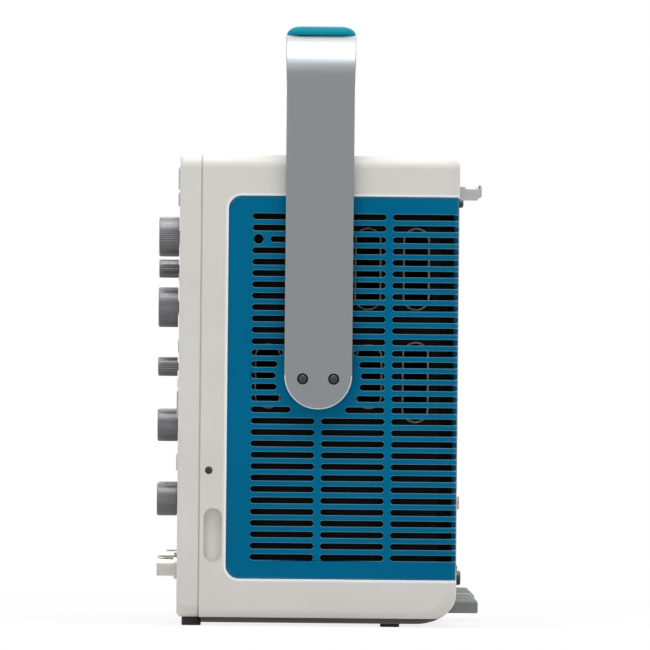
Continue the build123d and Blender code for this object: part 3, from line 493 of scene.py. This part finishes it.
# Handle grip: a low dome with rounded shoulders along the top bar
gripSet = {"shoulder": 7.0, "shoulderCut": 0.98, "segments": 10, "endRound": 8.0, "endSteps": 6}
gripLow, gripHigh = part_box("handle_grip")
gripSize = Vector(gripHigh) - Vector(gripLow)
gripMiddle = (Vector(gripHigh) + Vector(gripLow)) / 2
squash = gripSize.z / (gripSet["shoulder"] * mm)  # the round is cut deeper, then flattened to the real rise
grip = startFrom(bpy.ops.mesh.primitive_cube_add, size=1, location=gripMiddle,
                 scale=(gripSize.x, gripSize.y, gripSize.z / squash))
bpy.ops.object.mode_set(mode="EDIT")
pick(grip, "edges", lambda edge: runsAlong(edge, "z"))
bpy.ops.mesh.bevel(offset=gripSet["endRound"] * mm, segments=gripSet["endSteps"], affect="EDGES")
topZ = gripMiddle.z + gripSize.z / squash / 2
pick(grip, "edges", lambda edge: liesAt(edge, "z", topZ))
bpy.ops.mesh.bevel(offset=gripSet["shoulder"] * gripSet["shoulderCut"] * mm, segments=gripSet["segments"],
                   affect="EDGES")
bpy.ops.mesh.select_all(action="SELECT")
bpy.ops.transform.resize(value=(1, 1, squash), center_override=gripMiddle)
finishPiece(grip, "handle_grip_cover", "blue_soft_grip", "handle", ["handle_grip"], 50)
print("grip ready")


# Handle screws: dark domed heads with a hexagon socket, sunk in the arms
screwSet = {"places": [(-7.6, 119.7), (7.6, 119.7)], "pivotDepth": 68.5, "sides": 36, "head": 2.65,
            "headDepth": 2.1, "shank": 1.4, "shankEnd": 212.4, "dome": 2.0, "domeSteps": 8, "socket": 0.5,
            "socketDepth": 0.5, "faceSpan": 219.4, "flat": 0.75}


def makeHandleScrew(side, offset, z):
    s = screwSet
    depth = s["pivotDepth"] + offset
    headMiddle = place(side * (s["faceSpan"] - s["headDepth"] / 2), depth, z)
    screw = startFrom(bpy.ops.mesh.primitive_cylinder_add, vertices=s["sides"], radius=s["head"] * mm,
                      depth=s["headDepth"] * mm, location=headMiddle,
                      rotation=(0, side * math.radians(90), 0))
    bpy.ops.object.mode_set(mode="EDIT")
    pick(screw, "faces", lambda face: face.normal.x * side < -0.9)
    bpy.ops.mesh.inset(thickness=(s["head"] - s["shank"]) * mm)
    shankLength = (s["faceSpan"] - s["headDepth"] - s["shankEnd"]) * mm
    bpy.ops.mesh.extrude_region_move(TRANSFORM_OT_translate={"value": (-side * shankLength, 0, 0)})
    pick(screw, "edges", lambda edge: liesAt(edge, "x", side * s["faceSpan"] * mm))
    bpy.ops.mesh.bevel(offset=s["dome"] * mm, segments=s["domeSteps"], affect="EDGES")
    pick(screw, "faces", lambda face: face.normal.x * side > 0.99 and len(face.verts) > 8)
    bpy.ops.mesh.inset(thickness=(s["head"] - s["dome"] - s["socket"]) * mm)
    bpy.ops.mesh.extrude_region_move(TRANSFORM_OT_translate={"value": (-side * s["socketDepth"] * mm, 0, 0)})
    # The dome is flattened towards the shank's end and pushed back out to the face
    bpy.ops.mesh.select_all(action="SELECT")
    bpy.ops.transform.resize(value=(s["flat"], 1, 1), center_override=place(side * s["shankEnd"], depth, z))
    pushOut = (1 - s["flat"]) * (s["faceSpan"] - s["shankEnd"]) * mm
    bpy.ops.transform.translate(value=(side * pushOut, 0, 0))
    bpy.ops.object.mode_set(mode="OBJECT")
    return screw


screws = [makeHandleScrew(side, offset, z) for side in (-1, 1) for offset, z in screwSet["places"]]
finishPiece(joinPieces(screws, "handle_screw_set"), "handle_screw_set", "blackened_steel", "handle",
            ["handle_screws"])
print("handle screws ready")


# Knobs: ribbed skirt, rounded rim, dished face and a shaft, with a raised white pointer
knobSet = {"ribPitch": 1.0, "ribDepth": 0.09, "ribGap": 0.12, "ribStart": 0.9, "rim": 0.7, "rimSteps": 4,
           "dish": 0.45, "border": 1.7, "panelGap": 0.6, "largeFrom": 6, "largeShaft": 3.0, "smallShaft": 2.0,
           "shaftClear": 1.2, "smoothAngle": 32}
pointerSet = {"sink": 0.3, "middle": 0.66, "length": 0.55, "width": 0.9, "depth": 0.5, "edge": 0.12}


def makeKnob(name):
    low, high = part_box(name)
    radius = (high[0] - low[0]) / 2
    x, z = (low[0] + high[0]) / 2, (low[2] + high[2]) / 2
    front, capBack, back = low[1], frontY - knobSet["panelGap"] * mm, high[1]
    shaft = knobSet["largeShaft" if radius > knobSet["largeFrom"] * mm else "smallShaft"] * mm
    ribs = 2 * round(math.pi * radius / (knobSet["ribPitch"] * mm))
    knob = startFrom(bpy.ops.mesh.primitive_cylinder_add, vertices=2 * ribs, radius=radius,
                     depth=capBack - front, location=(x, (front + capBack) / 2, z),
                     rotation=(math.radians(90), 0, 0))
    bpy.ops.object.mode_set(mode="EDIT")
    pick(knob, "faces", lambda face: face.normal.y > 0.9)
    bpy.ops.mesh.inset(thickness=radius - shaft)
    bpy.ops.mesh.extrude_region_move(TRANSFORM_OT_translate={"value": (0, back - capBack, 0)})
    pick(knob, "edges", lambda edge: liesAt(edge, "y", front))
    bpy.ops.mesh.bevel(offset=knobSet["rim"] * mm, segments=knobSet["rimSteps"], affect="EDGES")
    pick(knob, "faces", lambda face: face.normal.y < -0.99 and len(face.verts) > 8)
    bpy.ops.mesh.inset(thickness=knobSet["border"] * mm - knobSet["rim"] * mm * 0.5)
    bpy.ops.mesh.inset(thickness=knobSet["dish"] * mm, depth=-knobSet["dish"] * mm)

    def isRib(face):  # every second face of the skirt
        middle = face.calc_center_median()
        turn = math.atan2(middle.z - z, middle.x - x) / (2 * math.pi)
        onSkirt = front + knobSet["ribStart"] * mm < middle.y < capBack and abs(face.normal.y) < 0.1
        clearOfShaft = math.hypot(middle.x - x, middle.z - z) > shaft * knobSet["shaftClear"]
        return onSkirt and clearOfShaft and round(turn * 2 * ribs - 0.5) % 2 == 0

    pick(knob, "faces", isRib)
    bpy.ops.mesh.inset(thickness=knobSet["ribGap"] * mm, depth=-knobSet["ribDepth"] * mm, use_individual=True)
    bpy.ops.object.mode_set(mode="OBJECT")
    finishPiece(knob, name + "_cap", "metallic_grey_knob_paint", name + "_body", [name],
                knobSet["smoothAngle"])

    p = pointerSet
    reach = radius - knobSet["border"] * mm
    pointer = startFrom(bpy.ops.mesh.primitive_cube_add, size=1,
                        location=(x, front + p["sink"] * mm, z + reach * p["middle"]),
                        scale=(p["width"] * mm, p["depth"] * mm, reach * p["length"]))
    bpy.ops.object.mode_set(mode="EDIT")
    bpy.ops.mesh.select_all(action="SELECT")
    bpy.ops.mesh.bevel(offset=p["edge"] * mm, segments=2, affect="EDGES")
    finishPiece(pointer, name + "_pointer", "white_pointer_ink", name + "_body")


knobNames = [name for name in nodes if "_knob" in name]
for name in knobNames:
    makeKnob(name)
print("knobs ready:", len(knobNames))


# Chassis windows: the pale edge of each slotted window in the frame's side, a painted highlight against the
# frame's painted shade
windowSet = {"width": 12.4, "side": 203.15, "edge": 0.55, "sides": 32, "smoothAngle": 60, "places": (
    (92.4, 154.0, 193.8), (116.1, 154.0, 193.8), (43.8, 105.5, 136.6), (93.3, 105.5, 136.6),
    (116.1, 99.0, 138.0))}  # depth, lower and upper end of each
rims = []
for depth, bottom, top in windowSet["places"]:
    radius = windowSet["width"] / 2 * mm
    stretch = (top - bottom) / 2 * mm - radius
    middle = place(windowSet["side"], depth, (bottom + top) / 2)
    rim = startFrom(bpy.ops.mesh.primitive_circle_add, vertices=windowSet["sides"], radius=radius,
                    location=middle, rotation=(0, math.radians(90), 0))
    bpy.ops.object.mode_set(mode="EDIT")
    for sign in (-1, 1):
        pick(rim, "edges", lambda edge: all((v.co.z - middle.z) * sign > -nearly for v in edge.verts))
        bpy.ops.transform.translate(value=(0, 0, sign * stretch))
    rims.append(rim)
    bpy.ops.object.mode_set(mode="OBJECT")
for rim in rims:
    selectOnly(rim)
    bpy.ops.object.convert(target="CURVE")
    rim.data.bevel_depth = windowSet["edge"] * mm
    rim.data.bevel_resolution = 1
    bpy.ops.object.convert(target="MESH")
finishPiece(joinPieces(rims, "chassis_window_edges"), "chassis_window_edges", "zinc_window_edge_painted_highlight", "case",
            (), windowSet["smoothAngle"])
print("window edges ready:", len(rims))


# Rear sockets: dark moulded floors in the metal shells, and bright blades in the mains inlet
socketSet = {"floor": (122.0, 122.4), "edge": 0.25, "shell": 1.1, "places": (  # x, height, width and height
    (-60.0, 60.0, 12.6, 11.4), (-34.0, 60.0, 16.4, 14.0), (4.0, 60.0, 31.0, 12.0), (-60.0, 84.0, 13.4, 7.4))}
bladeSet = {"reach": (116.4, 130.1), "edge": 0.25, "size": (2.1, 4.1), "inlet": (-112.0, 66.0),
            "places": ((-7.0, 2.6), (7.0, 2.6), (0.0, 5.4))}


def makeBlock(x, z, width, height, depths, edge):
    block = startFrom(bpy.ops.mesh.primitive_cube_add, size=1, location=place(x, sum(depths) / 2, z),
                      scale=(width * mm, (depths[1] - depths[0]) * mm, height * mm))
    bpy.ops.object.mode_set(mode="EDIT")
    pick(block, "edges", lambda part: runsAlong(part, "y"))
    bpy.ops.mesh.bevel(offset=edge * mm, segments=3, affect="EDGES")
    bpy.ops.object.mode_set(mode="OBJECT")
    return block


inserts = [makeBlock(x, z, width - 2 * socketSet["shell"], height - 2 * socketSet["shell"],
                     socketSet["floor"], socketSet["edge"]) for x, z, width, height in socketSet["places"]]
finishPiece(joinPieces(inserts, "socket_floors"), "socket_floors", "dark_moulded_abs", "case")
inletX, inletZ = bladeSet["inlet"]
blades = [makeBlock(inletX + x, inletZ + z, *bladeSet["size"], bladeSet["reach"], bladeSet["edge"])
          for x, z in bladeSet["places"]]
finishPiece(joinPieces(blades, "mains_blades"), "mains_blades", "nickel_plated_brass", "case")
print("socket details ready")


# Panel printing: plain legends and lines of thin ink
printSet = {"panelFace": -0.02, "capFace": -0.92, "letterScale": 1.35, "thickness": 0.03, "curveSteps": 3,
            "lineThickness": 0.06, "lineWidth": 0.3}
columns = (62.0, 100.0, 138.0, 176.0)
legends = [  # words, x, height, letter height in mm
    ("HORIZONTAL", 176.0, 168.0, 2.6), ("POSITION", 152.0, 180.3, 2.0), ("SCALE", 176.0, 141.0, 2.0),
    ("TRIGGER", 176.0, 133.5, 2.6), ("LEVEL", 176.0, 117.2, 2.0), ("VERTICAL", 119.0, 107.6, 2.6),
    ("RUN / STOP", 195.0, 210.2, 1.8), ("SINGLE", 172.0, 210.2, 1.8), ("FORCE", 197.0, 97.2, 1.8),
    ("A", 138.0, 202.0, 2.6), ("B", 176.0, 202.0, 2.6),
]
for column in columns:
    legends += [("POSITION", column, 86.2, 1.8), ("SCALE", column, 49.0, 1.8)]
for number, column in enumerate(columns, 1):
    legends += [(str(number), column + 12.0, 27.0, 3.4)]
capNumber = {"height": 78.1, "size": 3.6}
thin = printSet["lineWidth"]
rules = [(x - thin / 2, x + thin / 2, 40.0, 104.0) for x in (81.0, 119.0, 157.0)]  # left, right, bottom, top
rules += [(48.0, 204.0, z, z + thin) for z in (111.6, 39.4)]


def makeLegend(words, x, z, size, face=printSet["panelFace"]):
    bpy.ops.object.select_all(action="DESELECT")
    bpy.ops.object.text_add(location=(0, 0, 0))
    legend = bpy.context.object
    legend.data.body = words
    legend.data.align_x = "CENTER"
    legend.data.align_y = "CENTER"
    legend.data.size = size * printSet["letterScale"] * mm
    legend.data.extrude = printSet["thickness"] * mm
    legend.data.resolution_u = printSet["curveSteps"]
    bpy.ops.object.convert(target="MESH")
    legend.rotation_euler = (math.radians(90), 0, 0)
    legend.location = place(x, face, z)
    settle(legend)
    return legend


def makeLine(left, right, bottom, top):
    return startFrom(bpy.ops.mesh.primitive_cube_add, size=1,
                     location=place((left + right) / 2, printSet["panelFace"], (bottom + top) / 2),
                     scale=((right - left) * mm, printSet["lineThickness"] * mm, (top - bottom) * mm))


prints = [makeLegend(*legend) for legend in legends] + [makeLine(*rule) for rule in rules]
finishPiece(joinPieces(prints, "panel_printing"), "panel_printing", "dark_screen_print", "case")

for number, column in enumerate(columns, 1):
    cap = makeLegend(str(number), column, capNumber["height"], capNumber["size"], printSet["capFace"])
    finishPiece(cap, f"channel_number_{number}", f"channel_{number}_screen_print",
                f"channel_button_{number}_body")
print("printing ready:", len(legends) + len(columns))

partFinishes = {
    "dark_moulded_abs": ["encoders", "fan_frame", "fan_rotor", "ac_inlet"],
    "foot_grey_abs": ["handle_hubs"],
    "white_pointer_ink": ["channel_light_bars"],
    "moulded_rubber": ["rubber_feet"],
    "silicone_keys": ["menu_key_mat"],
    "solder_mask_green": ["main_board", "panel_board", "power_supply"],
    "black_coated_steel": ["chassis"],
    "bare_cut_steel": ["heat_sink", "handle_pivots"],
    "nickel_plated_brass": ["input_jacks", "probe_lugs", "front_usb_ports", "rear_ports"],
    "blackened_steel": ["case_screws"],
    "brushed_panel_aluminium": ["rear_panel", "display_module"],
    "screen_glass": ["display_window"],
    "key_cap_abs": [name for name in nodes if "_button" in name or name.startswith("side_key")],
}
for finish, names in partFinishes.items():
    for name in names:
        nodes[name].data.materials.clear()
        nodes[name].data.materials.append(finishes[finish])
print("finishes given to the other parts")


# Floor, world and lamps: a plain pale studio. The floor fades to the white backdrop away from the object.
floorSet = {"size": 12, "low": "#e4e4e4", "high": "#e8e8e8", "drift": 400, "fadeScale": 0.7, "fadeFull": 0.5,
            "white": 1.0, "whiteNear": 0.84}


def floorMaterial():
    material, tree = newMaterial("pale_floor")
    path = addNode(tree, "ShaderNodeLightPath")
    coords = addNode(tree, "ShaderNodeTexCoord").outputs["Object"]
    tone = driftColour(tree, coords, floorSet["drift"], floorSet["low"], floorSet["high"])
    near = addNode(tree, "ShaderNodeMapping", {"Scale": (floorSet["fadeScale"],) * 3}, {"Vector": coords})
    fade = addNode(tree, "ShaderNodeTexGradient", {"gradient_type": "SPHERICAL"},
                   {"Vector": near.outputs["Vector"]})
    keep = addNode(tree, "ShaderNodeMapRange",
                   {"From Min": 0.0, "From Max": floorSet["fadeFull"], "To Min": floorSet["white"],
                    "To Max": floorSet["whiteNear"]}, {"Value": fade.outputs["Fac"]})
    matte = addNode(tree, "ShaderNodeBsdfDiffuse", None, {"Color": tone})
    white = addNode(tree, "ShaderNodeEmission", {"Color": (1, 1, 1, 1), "Strength": 1.0})
    mirrored = addNode(tree, "ShaderNodeMath", {"operation": "MAXIMUM"},
                       {0: path.outputs["Is Glossy Ray"], 1: path.outputs["Is Transmission Ray"]})
    direct = addNode(tree, "ShaderNodeMath", {"operation": "MAXIMUM"},
                     {0: path.outputs["Is Camera Ray"], 1: mirrored.outputs[0]})
    seen = addNode(tree, "ShaderNodeMath", {"operation": "MULTIPLY"},
                   {0: direct.outputs[0], 1: keep.outputs["Result"]})
    mix = addNode(tree, "ShaderNodeMixShader", None,
                  {0: seen.outputs[0], 1: matte.outputs[0], 2: white.outputs[0]})
    addNode(tree, "ShaderNodeOutputMaterial", None, {"Surface": mix.outputs[0]})
    return material


bpy.ops.object.select_all(action="DESELECT")
bpy.ops.mesh.primitive_plane_add(size=floorSet["size"], location=(0, 0, 0))
floor = bpy.context.object
floor.name = "floor"
floor.data.materials.append(floorMaterial())

studioSet = {"ambient": 0.28, "backdrop": 1.0, "ceiling": 2.6, "ceilingFrom": 0.5, "ceilingTo": 0.7,
             "aim": (0, 0, 0.12)}
world = bpy.data.worlds.new("studio")
bpy.context.scene.world = world
world.use_nodes = True
sky = world.node_tree
sky.nodes.clear()
path = addNode(sky, "ShaderNodeLightPath")
direct = addNode(sky, "ShaderNodeMath", {"operation": "MAXIMUM"},
                 {0: path.outputs["Is Camera Ray"], 1: path.outputs["Is Glossy Ray"]})
seen = addNode(sky, "ShaderNodeMath", {"operation": "MAXIMUM"},
               {0: direct.outputs[0], 1: path.outputs["Is Transmission Ray"]})
ambient = addNode(sky, "ShaderNodeBackground", {"Color": (1, 1, 1, 1), "Strength": studioSet["ambient"]})
skyCoords = addNode(sky, "ShaderNodeTexCoord").outputs["Generated"]
direction = addNode(sky, "ShaderNodeSeparateXYZ", None, {0: skyCoords})
ceiling = addNode(sky, "ShaderNodeMapRange",
                  {"From Min": studioSet["ceilingFrom"], "From Max": studioSet["ceilingTo"],
                   "To Min": 0.0, "To Max": studioSet["ceiling"] - studioSet["backdrop"]},
                  {"Value": direction.outputs["Z"]})
overhead = addNode(sky, "ShaderNodeMath", {"operation": "MULTIPLY_ADD", 2: studioSet["backdrop"]},
                   {0: ceiling.outputs["Result"], 1: path.outputs["Is Glossy Ray"]})
backdrop = addNode(sky, "ShaderNodeBackground", {"Color": (1, 1, 1, 1)}, {"Strength": overhead.outputs[0]})
mixed = addNode(sky, "ShaderNodeMixShader", None,
                {0: seen.outputs[0], 1: ambient.outputs[0], 2: backdrop.outputs[0]})
addNode(sky, "ShaderNodeOutputWorld", None, {"Surface": mixed.outputs[0]})

lamps = [  # name, place, size in metres, watts
    ("top_softbox", (0.5, 0.0, 2.0), 1.7, 44),
    ("side_softbox", (2.6, -1.6, 1.0), 1.6, 9),
    ("rear_side_softbox", (2.2, 1.9, 0.9), 1.6, 6.5),
    ("front_softbox", (-0.6, -2.4, 1.2), 1.6, 12),
    ("left_softbox", (-2.4, 0.4, 1.2), 1.6, 12),
    ("back_softbox", (-0.8, 2.4, 1.2), 1.6, 12),
]
for name, at, size, power in lamps:
    lamp = bpy.data.lights.new(name, "AREA")
    lamp.shape = "SQUARE"
    lamp.size = size
    lamp.energy = power
    holder = bpy.data.objects.new(name, lamp)
    holder.location = at
    holder.rotation_euler = (Vector(studioSet["aim"]) - Vector(at)).to_track_quat("-Z", "Y").to_euler()
    bpy.context.scene.collection.objects.link(holder)
print("studio ready")
